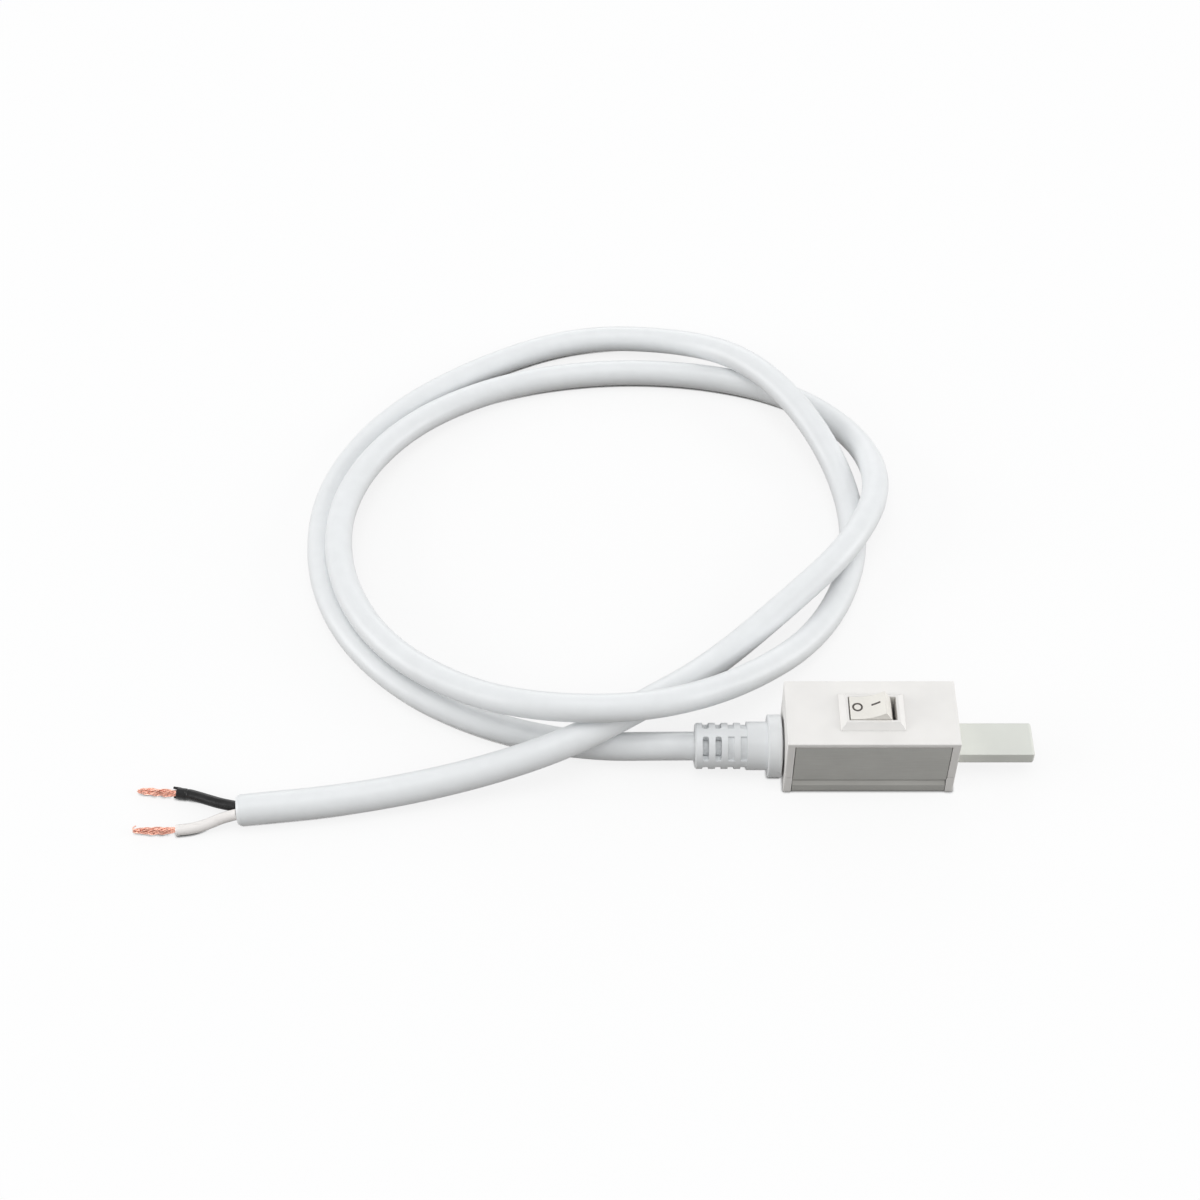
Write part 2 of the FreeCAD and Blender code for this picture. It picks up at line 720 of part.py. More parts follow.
def make_load_terminal():
    """Tab on the switch floor under the moving contact, with a solder blade below the switch."""
    body = make_body("load_terminal")
    tab = make_sketch(body, "XY_Plane", well_bottom)
    outer_face = -d.load_blade_x - half_blade
    add_rectangle(tab, outer_face, d.contact_radius - d.contact_x, -blade_far, d.contact_radius)
    add_pad(body, tab, d.terminal_thickness)
    blade = make_sketch(body, "XY_Plane", blade_bottom)
    add_rectangle(blade, outer_face, outer_face + d.terminal_thickness, -blade_far, -blade_near)
    add_pad(body, blade, blade_height)
    return body


def make_fixed_contact():
    """Contact rivet on the load terminal's tab."""
    rivet = doc.addObject("Part::Cylinder", "fixed_contact")
    rivet.Label = "fixed_contact"
    closed_height = d.knife_height + d.lever_lift + (d.contact_x - d.contact_radius) * closed_slope
    bind(rivet, "Radius", d.contact_radius)
    bind(rivet, "Height",
         closed_height - d.moving_contact_height - d.contact_gap - d.terminal_thickness)
    bind(rivet, ".Placement.Base.x", -d.contact_x)
    bind(rivet, ".Placement.Base.z", well_bottom + d.terminal_thickness)
    return rivet


def make_link_plug():
    """Flat tongue with two sleeve bores, held by a flange inside the box."""
    body = make_body("link_plug")
    tongue = make_sketch(body, "YZ_Plane", plug_start)
    half_tongue = d.tongue_width / 2
    add_rectangle(tongue, -half_tongue, half_tongue, d.tongue_low, d.tongue_low + d.tongue_thickness)
    add_pad(body, tongue, plug_end - plug_start)
    dress_edges(body, "Fillet", lambda edge: ends_at(edge, "x", plug_end), d.tongue_round)
    flange = make_sketch(body, "YZ_Plane", plug_start)
    half_flange = d.plug_flange_width / 2
    add_rectangle(flange, -half_flange, half_flange, tray_top + d.fit_gap, d.plug_flange_top)
    add_pad(body, flange, d.plug_flange)
    bores = make_sketch(body, "YZ_Plane", plug_start)
    for side in (-sleeve_side, sleeve_side):
        add_circle(bores, side, tongue_middle, d.sleeve_radius + d.fit_gap)
    add_pocket(body, bores, plug_end - plug_start, forward=True)
    return body


def make_sleeve(label, side):
    """Sleeve contact in the link plug, with a tail inside the box for its lead."""
    body = make_body(label)
    ring = make_sketch(body, "YZ_Plane", tail_end)
    add_circle(ring, side, tongue_middle, d.sleeve_radius)
    add_circle(ring, side, tongue_middle, d.sleeve_bore)
    add_pad(body, ring, plug_end - d.sleeve_inset - tail_end)
    return body


def make_strain_relief():
    """Moulded boot round the cord: inner flange, neck, collar, barrel and a slotted, bending end."""
    body = make_body("strain_relief")
    set_place(body, d.split_height)
    profile = make_sketch(body, "XZ_Plane")
    add_polygon(profile, [
        (relief_start, 0),
        (relief_start, d.relief_flange_radius),
        (-flange_face, d.relief_flange_radius),
        (-flange_face, d.neck_radius),
        (collar_start, d.neck_radius),
        (collar_start, d.collar_radius - d.collar_edge),
        (collar_start - d.collar_edge, d.collar_radius),
        (collar_end + d.collar_edge, d.collar_radius),
        (collar_end, d.collar_radius - d.collar_edge),
        (collar_end, d.barrel_radius),
        (barrel_end, d.barrel_radius),
        (barrel_end, d.slotted_radius),
        (relief_end + d.nose_edge, d.slotted_radius),
        (relief_end, d.slotted_radius - d.nose_edge),
        (relief_end, relief_bore),
        (jacket_end, relief_bore),
        (jacket_end, 0),
    ])
    turned = body.newObject("PartDesign::Revolution", "strain_relief_turned")
    turned.Profile = profile
    turned.ReferenceAxis = (profile, ["H_Axis"])
    turned.Angle = 360
    cut_relief_windows(body)
    flats = make_sketch(body, "XZ_Plane")
    floor_clear = -(d.split_height - d.collar_clear)
    tray_clear = -(d.split_height - tray_top - d.fit_gap)
    below = -d.collar_radius
    add_rectangle(flats, barrel_end, collar_start, below, floor_clear)
    add_rectangle(flats, -flange_face, relief_start, below, tray_clear)
    add_pocket(body, flats, d.collar_radius * 2, symmetric=True)
    cores = make_sketch(body, "YZ_Plane", jacket_end)
    for side in (-core_side, core_side):
        add_circle(cores, side, 0, core_radius + d.fit_gap)
    add_pocket(body, cores, relief_start - jacket_end, forward=True)
    return body


def cut_relief_windows(body):
    """Rings of windows round the slotted end: two blind ones by the barrel, then two down to the cord."""
    doc.recompute()
    blind = d.slotted_radius - d.shallow_depth
    window = make_sketch(body, "XZ_Plane")
    window.AttachmentOffset = Placement(Vector(), Rotation(X_AXIS, 180 / WINDOWS_PER_RING))
    for ring, floor_radius in enumerate((blind, blind, cord_radius, cord_radius)):
        start = barrel_end - d.window_pitch * ring
        add_rectangle(window, start - d.window_length, start, floor_radius, d.barrel_radius)
    cut = body.newObject("PartDesign::Groove", "window_cut")
    cut.Profile = window
    cut.ReferenceAxis = (window, ["H_Axis"])
    cut.Midplane = True
    bind(cut, "Angle", d.window_angle)
    doc.recompute()
    rings = body.newObject("PartDesign::PolarPattern", "window_rings")
    rings.Originals = [cut]
    rings.Axis = (window, ["H_Axis"])
    rings.Angle = 360
    rings.Occurrences = WINDOWS_PER_RING
    body.Tip = rings
    dress_edges(body, "Fillet", lambda edge: spans_radii(edge, relief_bore, d.slotted_radius),
                d.window_round)


def rounded_path(points):
    """Straight runs joined by tangent arcs."""
    edges = []
    start = points[0]
    for before, corner, after in zip(points, points[1:], points[2:]):
        back = before - corner
        ahead = after - corner
        trim = 0.45 * min(back.Length, ahead.Length)
        back.normalize()
        ahead.normalize()
        half_turn = (math.pi - back.getAngle(ahead)) / 2
        radius = trim / math.tan(half_turn)
        inward = back + ahead
        inward.normalize()
        arc_start = corner + back * trim
        arc_end = corner + ahead * trim
        arc_middle = corner + inward * (radius / math.cos(half_turn) - radius)
        edges.append(Part.LineSegment(start, arc_start).toShape())
        edges.append(Part.Arc(arc_start, arc_middle, arc_end).toShape())
        start = arc_end
    edges.append(Part.LineSegment(start, points[-1]).toShape())
    return Part.Wire(edges)


def make_tube(label, route, radius, mitred=False):
    """Round wire along a route, with an arc or a plain mitre at each corner."""
    points = [Vector(*point) for point in route]
    path = Part.makePolygon(points) if mitred else rounded_path(points)
    section = Part.Wire([Part.makeCircle(number(radius), points[0], points[1] - points[0])])
    solid = path.makePipeShell([section], True, not mitred, 1 if mitred else 0)
    full = math.pi * number(radius) ** 2 * path.Length
    if abs(solid.Volume - full) > 0.01 * full:
        raise RuntimeError("%s is not a clean tube" % label)
    print("%s: length %.1f mm" % (label, path.Length))
    tube = doc.addObject("Part::Feature", label)
    tube.Label = label
    tube.Shape = solid
    return tube


def make_inner_leads():
    """Leads inside the box: line to the switch, switched line and neutral to the link plug."""
    enter = number(jacket_end)
    axis = number(d.split_height)
    side = number(core_side)
    sleeve = number(sleeve_side)
    sleeve_height = number(tongue_middle)
    sleeve_end = number(tail_end)
    blade_y = number(d.blade_offset)
    solder = number(blade_middle) - number(core_radius) / 2
    load_face = number(half_blade - d.load_blade_x)
    low = number(tray_top + core_radius + d.running_gap * 6)
    outside = number(channel_inner - d.core_diameter * 0.7)
    line = [
        (enter, side, axis),
        (enter / 2, side, axis),
        (enter / 4, blade_y, solder),
        (-number(half_blade), blade_y, solder),
    ]
    neutral = [
        (enter, -side, axis),
        (enter * 0.62, -side, axis),
        (enter * 0.35, -outside, low),
        (sleeve_end * 0.15, -outside, low),
        (sleeve_end * 0.7, -sleeve, sleeve_height),
        (sleeve_end, -sleeve, sleeve_height),
    ]
    switched = [
        (load_face, -blade_y, solder),
        (load_face + 2 * blade_y, -blade_y, solder),
        (sleeve_end * 0.65, sleeve, sleeve_height),
        (sleeve_end, sleeve, sleeve_height),
    ]
    return [
        make_tube("line_lead", line, core_radius),
        make_tube("neutral_lead", neutral, core_radius),
        make_tube("switched_lead", switched, core_radius),
    ]


def make_cut_end(label, side, route, tip):
    """One core out of the jacket's cut end, and its bare strands."""
    jacket_tip = Vector(*CORD_ROUTE[-1])
    along = jacket_tip - Vector(*CORD_ROUTE[-2])
    across = along.cross(Z_AXIS)
    across.normalize()
    start = jacket_tip + across * (side * number(core_side))
    wire = make_tube(label + "_wire", [tuple(start)] + route, core_radius)
    strand_start = Vector(*route[-1])
    reach = Vector(*tip) - strand_start
    strands = doc.addObject("Part::Cone", label + "_strands")
    strands.Label = label + "_strands"
    bind(strands, "Radius1", d.strand_radius)
    bind(strands, "Radius2", d.strand_tip_radius)
    strands.Height = reach.Length
    strands.Placement = Placement(strand_start, Rotation(Z_AXIS, reach))
    return [wire, strands]


pieces = [
    make_channel(),
    make_base_tray(),
    make_top_cover(),
    make_cover_screws(),
    make_switch_housing(),
    make_rocker(),
    make_plunger(),
    make_plunger_spring(),
    make_contact_lever(),
    make_moving_contact(),
    make_common_terminal(),
    make_load_terminal(),
    make_fixed_contact(),
    make_link_plug(),
    make_sleeve("line_contact", sleeve_side),
    make_sleeve("neutral_contact", -sleeve_side),
    make_strain_relief(),
    make_tube("cord", CORD_ROUTE, cord_radius),
]
pieces += make_inner_leads()
pieces += make_cut_end("black", 1, BLACK_ROUTE, BLACK_TIP)
pieces += make_cut_end("white", -1, WHITE_ROUTE, WHITE_TIP)
doc.recompute()

for item in doc.Objects:
    if "Invalid" in item.State or "Error" in item.State:
        raise RuntimeError("%s is not built: %s" % (item.Label, item.State))

os.makedirs("parts", exist_ok=True)
for piece in pieces:
    if piece.Shape.isNull() or not piece.Shape.isValid():
        raise RuntimeError("%s has no valid shape" % piece.Label)
    piece.Shape.exportStep("parts/%s.step" % piece.Label)
    print("%s: %.1f cubic mm" % (piece.Label, piece.Shape.Volume))
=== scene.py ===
import json
import math
import random

import bmesh
import bpy
from mathutils import Matrix, Vector


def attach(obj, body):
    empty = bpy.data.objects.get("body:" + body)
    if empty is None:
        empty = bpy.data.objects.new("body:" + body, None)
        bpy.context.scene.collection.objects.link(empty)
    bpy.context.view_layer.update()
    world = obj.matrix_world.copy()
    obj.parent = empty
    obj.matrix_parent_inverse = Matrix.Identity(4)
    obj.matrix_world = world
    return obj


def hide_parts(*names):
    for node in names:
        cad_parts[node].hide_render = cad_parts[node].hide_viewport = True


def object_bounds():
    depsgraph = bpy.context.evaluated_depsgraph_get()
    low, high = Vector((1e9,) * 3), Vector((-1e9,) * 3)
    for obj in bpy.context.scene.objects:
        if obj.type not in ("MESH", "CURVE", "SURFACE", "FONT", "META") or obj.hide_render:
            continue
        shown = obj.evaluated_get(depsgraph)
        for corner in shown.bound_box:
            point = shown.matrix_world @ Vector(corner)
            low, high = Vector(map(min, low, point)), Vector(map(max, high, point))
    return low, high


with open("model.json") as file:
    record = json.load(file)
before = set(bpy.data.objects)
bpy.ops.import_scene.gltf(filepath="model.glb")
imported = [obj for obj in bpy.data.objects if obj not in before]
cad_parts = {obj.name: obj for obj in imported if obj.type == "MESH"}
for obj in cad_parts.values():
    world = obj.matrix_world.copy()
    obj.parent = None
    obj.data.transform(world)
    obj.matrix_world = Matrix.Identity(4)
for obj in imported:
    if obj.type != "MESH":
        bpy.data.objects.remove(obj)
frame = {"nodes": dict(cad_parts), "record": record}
cad_low, cad_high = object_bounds()
nodes = frame["nodes"]

MM = 0.001

# Route of the cord in millimetres, from inside the strain relief to the cut end.
CORD_ROUTE = [
    (-22.5, 0, 5.8), (-45.5, 0, 5.8), (-69, 1.3, 3.5), (-94, 7.8, 3.5), (-116, 20.5, 3.5),
    (-132, 40, 3.5), (-139, 63.5, 3.5), (-137, 88.5, 3.5), (-123, 113, 3.5), (-99, 132, 3.5),
    (-71.5, 144.5, 3.5), (-44, 142.5, 4.6), (-25, 129.5, 10.9), (-9.5, 109.5, 10.9),
    (1.5, 86, 4.6), (2, 60, 3.5), (-9, 36, 3.5), (-29, 16.5, 9.8), (-51, 3, 17.6),
    (-75, 1.5, 18.6), (-97, 11, 12.2), (-118, 26, 10.3), (-130.5, 47, 9.2), (-134, 70.5, 8.2),
    (-128, 92, 7), (-113.5, 112, 5), (-90, 126, 3.6), (-63, 131, 3.5), (-36, 129.5, 3.5),
    (-12, 122, 3.5), (5, 105.5, 4.4), (10, 82.5, 9.6), (0.5, 60, 11.4), (-17.5, 42.5, 8),
    (-37, 25.5, 4), (-54, 9, 10.6), (-73, -4, 11.7), (-97, -9, 5.5), (-123.5, -14.3, 3.85),
    (-149.8, -17.41, 3.85), (-150.8, -17.53, 3.85), (-151.4, -17.6, 3.85),
]
CORD_RADIUS = 3.5
TAIL_GIRTH = [1.02, 1.04, 1.06, 1.08, 1.1, 1.1, 1.08, 0.93]

# Cores beyond the jacket's cut end and the tips of their bare strands, in millimetres.
BLACK_ROUTE = [
    (-151.58, -16.15, 3.4), (-155.2, -15, 2.75), (-159.1, -13.3, 2.15), (-163.3, -11.5, 1.6),
    (-164.0, -11.35, 1.56), (-164.25, -11.29, 1.54), (-164.6, -11.22, 1.52), (-165.4, -11.04, 1.47),
    (-166.3, -10.84, 1.42), (-166.6, -10.77, 1.4), (-166.75, -10.74, 1.39),
]
BLACK_GIRTH = [1, 1, 1, 0.99, 0.98, 0.9, 1.03, 1, 1, 1, 0.94]
WHITE_ROUTE = [
    (-151.22, -18.75, 4.0), (-154.8, -18.8, 2.7), (-158.2, -20.15, 1.95), (-161.8, -21.15, 1.5),
    (-165.4, -21.49, 1.36), (-165.75, -21.58, 1.35), (-165.9, -21.6, 1.35),
]
WHITE_GIRTH = [1, 1, 1, 1, 1, 1, 0.92]
BLACK_TIP = (-176.6, -10.1, 1.0)
WHITE_TIP = (-176.3, -21.6, 1.0)
CORE_RADIUS = 1.35

# Torn flaps that the stripping left on the end of the black core.
BLACK_FLAPS = [
    [(-165.9, -10.16, 2.09), (-166.8, -9.95, 2.04), (-167.7, -9.72, 2.1)],
    [(-165.9, -11.7, 0.8), (-166.8, -11.52, 0.72), (-167.6, -11.45, 0.66)],
]
FLAP_GIRTH = [0.3, 0.3, 0.22]

# Copper wires of each bundle, in millimetres: they start inside the insulation, and stay within the CAD's
# left end and above the table.
STRAND_COUNT = 24
STRAND_RADIUS = 0.14
STRAND_STEPS = 10
STRAND_DEPTH = 0.8
EVEN_SPREAD = 2.39996
STRAND_LEFT = cad_low[0] / MM + 0.15
STRAND_LOW = 0.13

# The rocker at rest: height of its pivot, its tilt and the dish of its top.
PIVOT = (0, 0, 17.65)
REST_TILT = -15
DISH_LOW = 4.0
DISH_RADIUS = 10.906

# Printed marks on the dish: a ring for off, a slanted bar for on, and how far the ink goes in and out.
RING_X = -2.55
RING_Y = 0.25
RING_OUTER = 1.24
RING_INNER = 0.8
RING_STEPS = 48
BAR_START = 0.75
BAR_LENGTH = 2.2
BAR_STEPS = 8
BAR_SIDES = (0.1, 0.58)
BAR_SLANT = 0.12
INK_BELOW = -0.01
INK_ABOVE = 0.03

# Studio and camera, in metres.
FLOOR_HALF = 1.4
FLOOR_DROP = 0.00005
LAMP_SIZE = 1.2
LAMP_TARGET = (-0.06, 0.03, 0)
CAMERA_PLACE = (-0.0648, -0.3201, 0.4498)
CAMERA_TILT = 39.5
CAMERA_LENS = 67.47


def linear(red, green, blue):
    """Linear colour from display values of 0 to 255."""
    values = []
    for value in (red, green, blue):
        part = value / 255
        values.append(part / 12.92 if part <= 0.04045 else ((part + 0.055) / 1.055) ** 2.4)
    return tuple(values)


def in_metres(points):
    """Points in metres from points in millimetres."""
    return [Vector(point) * MM for point in points]


class Material:
    """A node material that is built up step by step on a Principled shader."""

    def __init__(self, name, colour, roughness, metallic=0.0):
        self.material = bpy.data.materials.new(name)
        self.material.use_nodes = True
        self.tree = self.material.node_tree
        self.shader = self.tree.nodes["Principled BSDF"]
        self.shader.inputs["Base Color"].default_value = (*colour, 1)
        self.shader.inputs["Roughness"].default_value = roughness
        self.shader.inputs["Metallic"].default_value = metallic
        self.colour = colour
        self.roughness = roughness
        self.place = self.tree.nodes.new("ShaderNodeTexCoord")
        self.last_normal = None

    def set(self, socket, value):
        """Sets one number of the shader all over the surface."""
        self.shader.inputs[socket].default_value = value

    def link(self, source, target):
        """Joins an output to an input."""
        self.tree.links.new(source, target)

    def noise(self, scale, stretch=(1, 1, 1), detail=3.0, shift=(0, 0, 0)):
        """Noise with a scale per metre, stretched along the axes."""
        mapping = self.tree.nodes.new("ShaderNodeMapping")
        mapping.inputs["Scale"].default_value = stretch
        mapping.inputs["Location"].default_value = shift
        self.link(self.place.outputs["Object"], mapping.inputs["Vector"])
        noise = self.tree.nodes.new("ShaderNodeTexNoise")
        noise.inputs["Scale"].default_value = scale
        noise.inputs["Detail"].default_value = detail
        self.link(mapping.outputs["Vector"], noise.inputs["Vector"])
        return noise.outputs["Fac"]

    def spread_colour(self, pattern, amount, low=0.35, high=0.65):
        """Lets the colour run darker and lighter with a pattern."""
        ramp = self.tree.nodes.new("ShaderNodeValToRGB")
        dark = [max(0.0, part * (1 - amount)) for part in self.colour]
        light = [min(1.0, part * (1 + amount)) for part in self.colour]
        ramp.color_ramp.elements[0].position = low
        ramp.color_ramp.elements[0].color = (*dark, 1)
        ramp.color_ramp.elements[1].position = high
        ramp.color_ramp.elements[1].color = (*light, 1)
        self.link(pattern, ramp.inputs["Fac"])
        self.link(ramp.outputs["Color"], self.shader.inputs["Base Color"])

    def spread_roughness(self, pattern, amount):
        """Lets the gloss vary with a pattern."""
        span = self.tree.nodes.new("ShaderNodeMapRange")
        span.inputs["From Min"].default_value = 0.3
        span.inputs["From Max"].default_value = 0.7
        span.inputs["To Min"].default_value = self.roughness - amount
        span.inputs["To Max"].default_value = self.roughness + amount
        self.link(pattern, span.inputs["Value"])
        self.link(span.outputs["Result"], self.shader.inputs["Roughness"])

    def paint_corner_shade(self, reach, deepest):
        """Paints shade into the colour in inner corners, darkening it down to this share of it."""
        colour = self.shader.inputs["Base Color"].links[0].from_socket
        corner = self.tree.nodes.new("ShaderNodeAmbientOcclusion")
        corner.samples = 4
        corner.inputs["Distance"].default_value = reach
        span = self.tree.nodes.new("ShaderNodeMapRange")
        span.inputs["From Min"].default_value = 0.5
        span.inputs["To Min"].default_value = deepest
        self.link(corner.outputs["AO"], span.inputs["Value"])
        mix = self.tree.nodes.new("ShaderNodeVectorMath")
        mix.operation = "SCALE"
        self.link(colour, mix.inputs["Vector"])
        self.link(span.outputs["Result"], mix.inputs["Scale"])
        self.link(mix.outputs["Vector"], self.shader.inputs["Base Color"])

    def round_edges(self, radius):
        """Softens the sharp edges of moulded and rolled shapes."""
        bevel = self.tree.nodes.new("ShaderNodeBevel")
        bevel.samples = 6
        bevel.inputs["Radius"].default_value = radius
        self.join_normal(bevel.outputs["Normal"])

    def bump(self, pattern, depth, strength=1.0):
        """Relief of a depth in metres that follows a pattern."""
        relief = self.tree.nodes.new("ShaderNodeBump")
        relief.inputs["Strength"].default_value = strength
        relief.inputs["Distance"].default_value = depth
        self.link(pattern, relief.inputs["Height"])
        if self.last_normal is not None:
            self.link(self.last_normal, relief.inputs["Normal"])
        self.join_normal(relief.outputs["Normal"])

    def join_normal(self, normal):
        """Makes this the surface's normal, which a later relief builds on."""
        self.last_normal = normal
        self.link(normal, self.shader.inputs["Normal"])


def moulding(name, colour, roughness, edge, grain=9000, depth=0.000012, shade=0.02):
    """Moulded plastic: spark-eroded grain, slight flow shades and soft edges."""
    plastic = Material(name, colour, roughness)
    plastic.round_edges(edge)
    fine = plastic.noise(grain, detail=2.0)
    broad = plastic.noise(120, detail=2.0, shift=(0.3, 0.1, 0.7))
    plastic.spread_colour(broad, shade)
    plastic.spread_roughness(fine, 0.05)
    plastic.bump(fine, depth)
    return plastic


def drawn_metal(name, colour, roughness, edge, stretch, shade=0.06, depth=0.000006):
    """Rolled, drawn or extruded metal with fine lines along its length."""
    metal = Material(name, colour, roughness, metallic=1.0)
    metal.round_edges(edge)
    lines = metal.noise(9000, stretch=stretch, detail=4.0)
    broad = metal.noise(160, detail=2.0, shift=(0.2, 0.5, 0.4))
    metal.spread_colour(broad, shade)
    metal.spread_roughness(lines, 0.08)
    metal.bump(lines, depth)
    return metal


materials = {}
materials["channel_aluminium"] = drawn_metal(
    "satin_aluminium", linear(155, 154, 150), 0.48, 0.0001, (0.02, 1, 1), 0.025)
materials["white_moulding"] = moulding("white_moulding", linear(241, 239, 236), 0.5, 0.00022)
# Painted shade: the white moulding's colour darkens in its inner corners, such as beside the bezel and in
# the gap by the collar.
materials["white_moulding"].paint_corner_shade(0.0012, 0.78)
materials["switch_plastic"] = moulding("switch_plastic", linear(238, 236, 233), 0.38, 0.00015)
materials["rocker_plastic"] = moulding(
    "rocker_plastic", linear(240, 237, 230), 0.3, 0.00018, depth=0.000006)
materials["plug_plastic"] = moulding("plug_plastic", linear(228, 230, 223), 0.42, 0.0003)
materials["relief_plastic"] = moulding("relief_plastic", linear(235, 237, 238), 0.42, 0.0002)
materials["contact_brass"] = drawn_metal(
    "stamped_brass", linear(214, 178, 106), 0.32, 0.00006, (1, 0.05, 1))
materials["contact_metal"] = drawn_metal(
    "plated_contact", linear(222, 222, 220), 0.25, 0.00006, (1, 1, 1))
materials["screw_steel"] = drawn_metal(
    "zinc_plated_steel", linear(196, 198, 200), 0.3, 0.00008, (1, 1, 0.05))

jacket = Material("cord_jacket", linear(238, 240, 241), 0.36)
jacket_waves = jacket.noise(260, detail=2.0)
jacket_skin = jacket.noise(5000, detail=3.0)
jacket.spread_colour(jacket_waves, 0.012)
jacket.spread_roughness(jacket_skin, 0.05)
jacket.bump(jacket_waves, 0.00008)
jacket.bump(jacket_skin, 0.000008)
materials["cord_jacket"] = jacket

black_skin = Material("black_insulation", linear(27, 27, 28), 0.28)
black_waves = black_skin.noise(900, stretch=(0.35, 1, 1), detail=3.0)
black_skin.spread_colour(black_waves, 0.35)
black_skin.spread_roughness(black_waves, 0.1)
black_skin.bump(black_waves, 0.00005)
black_skin.set("Specular IOR Level", 0.3)
materials["black_insulation"] = black_skin

white_skin = Material("white_insulation", linear(247, 243, 240), 0.3)
white_waves = white_skin.noise(700, stretch=(0.35, 1, 1), detail=3.0)
white_skin.spread_colour(white_waves, 0.02)
white_skin.spread_roughness(white_waves, 0.06)
white_skin.bump(white_waves, 0.00004)
materials["white_insulation"] = white_skin

copper = Material("bare_copper", linear(234, 178, 160), 0.16, metallic=1.0)
painted_copper_reflections = copper.noise(2400, detail=3.0)
copper_lines = copper.noise(16000, detail=2.0)
# Painted reflections: the copper's colour runs in light and dark patches that stand in for the contrast
# of its reflections.
copper.spread_colour(painted_copper_reflections, 0.26, low=0.4, high=0.6)
copper.spread_roughness(copper_lines, 0.08)
copper.bump(copper_lines, 0.000006)
materials["bare_copper"] = copper

print_ink = Material("pad_print_ink", linear(72, 66, 62), 0.45)
ink_grain = print_ink.noise(14000, detail=3.0)
print_ink.spread_colour(ink_grain, 0.18)
print_ink.bump(ink_grain, 0.000006)


def paint(piece, material):
    """Gives a piece this material and no other."""
    piece.data.materials.clear()
    piece.data.materials.append(material.material)


for subpart in frame["record"]["subparts"]:
    node = nodes[subpart["node"]]
    paint(node, materials[subpart["material_slot"]])


def add_spline(curve, points, radii=None):
    """Adds a smooth open spline with these control points, in metres."""
    spline = curve.splines.new("NURBS")
    spline.points.add(len(points) - 1)
    for index, point in enumerate(points):
        spline.points[index].co = (*point, 1)
        if radii:
            spline.points[index].radius = radii[index]
    spline.order_u = 3
    spline.use_endpoint_u = True
    return spline


def new_curve(name, thickness, resolution, steps):
    """An empty round wire of the given radius, in metres."""
    curve = bpy.data.curves.new(name, "CURVE")
    curve.dimensions = "3D"
    curve.bevel_depth = thickness
    curve.bevel_resolution = steps
    curve.resolution_u = resolution
    curve.use_fill_caps = True
    piece = bpy.data.objects.new(name, curve)
    bpy.context.collection.objects.link(piece)
    return piece


cord = new_curve("cord_jacket", CORD_RADIUS * MM, 12, 8)
cord_girth = [1.0] * (len(CORD_ROUTE) - len(TAIL_GIRTH)) + TAIL_GIRTH
add_spline(cord.data, in_metres(CORD_ROUTE), cord_girth)
paint(cord, jacket)
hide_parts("cord")
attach(cord, "box")


def make_core(name, route, radii, flaps, slot, replaced):
    """One insulated core, with the dents and torn flaps that its stripping left."""
    piece = new_curve(name, CORE_RADIUS * MM, 8, 6)
    add_spline(piece.data, in_metres(route), radii)
    for flap in flaps:
        add_spline(piece.data, in_metres(flap), FLAP_GIRTH)
    paint(piece, materials[slot])
    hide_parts(replaced)
    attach(piece, "box")
    return piece


def make_strands(name, route, tip, seed, replaced):
    """Twisted bundle of fine copper wires that frays towards its tip."""
    chance = random.Random(seed)
    inside = (Vector(route[-2]) - Vector(route[-1])).normalized()
    start = Vector(route[-1]) + inside * STRAND_DEPTH
    tip = Vector(tip)
    along = (tip - start).normalized()
    side = along.cross(Vector((0, 0, 1))).normalized()
    up = side.cross(along)
    piece = new_curve(name, STRAND_RADIUS * MM, 4, 2)
    for index in range(STRAND_COUNT):
        spot = math.sqrt((index + 0.5) / STRAND_COUNT)
        angle = index * EVEN_SPREAD
        reach = chance.uniform(0.88, 1.02)
        loose = chance.uniform(0.0, 0.35) * spot
        turn = chance.uniform(5.6, 6.4)
        points = []
        for step in range(STRAND_STEPS + 1):
            run = step / STRAND_STEPS * reach
            swell = 0.38 + loose * math.sin(math.pi * run) + 0.36 * math.sin(0.4 + 2.5 * run)
            sway = 0.14 * math.sin(6 * run + seed)
            twist = angle + turn * run + 0.3 * chance.uniform(-1, 1) * run
            point = start.lerp(tip, run)
            point += side * (spot * swell * math.cos(twist) + sway)
            point += up * (spot * swell * math.sin(twist))
            points.append(point)
        if index % 3 == 0:
            fold = chance.uniform(0.8, 2.2)
            spread = side * chance.uniform(-0.5, 0.5) + up * chance.uniform(0.1, 0.45)
            points.append(points[-1] - along * fold * 0.35 + spread)
            points.append(points[-1] - along * fold * 0.65 + spread * 0.6)
        for point in points:
            point.x = max(point.x, STRAND_LEFT)
            point.z = max(point.z, STRAND_LOW)
        add_spline(piece.data, [point * MM for point in points])
    paint(piece, copper)
    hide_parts(replaced)
    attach(piece, "box")
    return piece


black_core = make_core(
    "black_core", BLACK_ROUTE, BLACK_GIRTH, BLACK_FLAPS, "black_insulation", "black_wire")
white_core = make_core("white_core", WHITE_ROUTE, WHITE_GIRTH, [], "white_insulation", "white_wire")
black_strands = make_strands("black_core_strands", BLACK_ROUTE, BLACK_TIP, 3, "black_strands")
white_strands = make_strands("white_core_strands", WHITE_ROUTE, WHITE_TIP, 8, "white_strands")


def on_dish(x, y, lift):
    """A point over the rocker's dished top, in metres in the row frame."""
    rise = DISH_LOW + DISH_RADIUS - math.sqrt(DISH_RADIUS ** 2 - x ** 2) + lift
    turn = Matrix.Rotation(math.radians(REST_TILT), 3, "Y")
    return (Vector(PIVOT) + turn @ Vector((x, y, rise))) * MM


